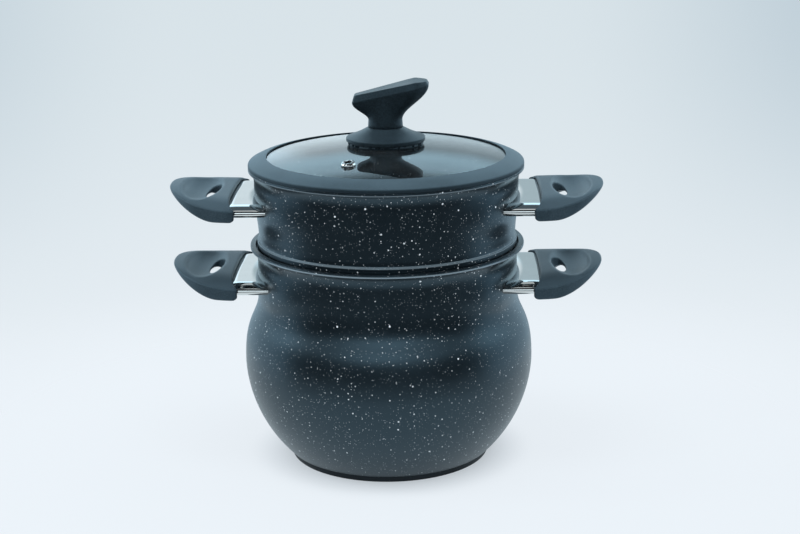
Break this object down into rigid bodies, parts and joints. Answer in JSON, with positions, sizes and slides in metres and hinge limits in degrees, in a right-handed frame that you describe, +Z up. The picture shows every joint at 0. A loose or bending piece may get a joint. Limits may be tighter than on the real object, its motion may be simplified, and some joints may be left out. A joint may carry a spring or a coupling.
{
  "type": "couscous steamer",
  "caption": "Couscous steamer: a bellied pot with half-moon side handles, a perforated steamer seated in its mouth, and a domed glass lid with a soft rim and a tilted knob.",
  "frame": {"origin": "centre of the underside of the base, on the axis of the pot", "axes": "+Z up along the pot's axis; +X towards the right-hand handles, the side that the knob's plate rises to; +Y towards the back, away from the viewer of the picture"},
  "size_m": [0.4012, 0.2696, 0.3535],
  "materials": {
    "granite_coat": "cast aluminium under a dark blue-grey non-stick coat with pale stone speckles, satin",
    "base_metal": "dark base disc, satin",
    "bakelite": "charcoal moulded heat-proof plastic, fine matt texture",
    "silicone": "grey silicone, matt",
    "polished_steel": "mirror-polished stainless sheet",
    "fastener_steel": "plain stainless steel",
    "tempered_glass": "clear tempered glass with a slight blue-grey tint"
  },
  "bodies": {
    "pot": {"base_plate": "base_metal", "pot_body": "granite_coat", "pot_right_lug": "fastener_steel", "pot_right_flame_guard": "polished_steel", "pot_right_grip": "bakelite", "pot_right_grip_screw": "fastener_steel", "pot_left_lug": "fastener_steel", "pot_left_flame_guard": "polished_steel", "pot_left_grip": "bakelite", "pot_left_grip_screw": "fastener_steel"},
    "steamer": {"steamer_body": "granite_coat", "steamer_right_lug": "fastener_steel", "steamer_right_flame_guard": "polished_steel", "steamer_right_grip": "bakelite", "steamer_right_grip_screw": "fastener_steel", "steamer_left_lug": "fastener_steel", "steamer_left_flame_guard": "polished_steel", "steamer_left_grip": "bakelite", "steamer_left_grip_screw": "fastener_steel"},
    "lid": {"lid_glass": "tempered_glass", "vent_eyelet": "polished_steel", "lid_rim": "silicone", "knob_seal": "silicone", "knob_skirt": "bakelite", "knob": "bakelite", "knob_washer": "fastener_steel", "knob_screw": "fastener_steel"}
  },
  "joints": [
    {"name": "steamer_lift", "type": "slide", "parent": "pot", "child": "steamer", "axis": [0, 0, 1], "range_m": [0, 0.15]},
    {"name": "lid_lift", "type": "slide", "parent": "steamer", "child": "lid", "axis": [0, 0, 1], "range_m": [0, 0.12]}
  ]
}
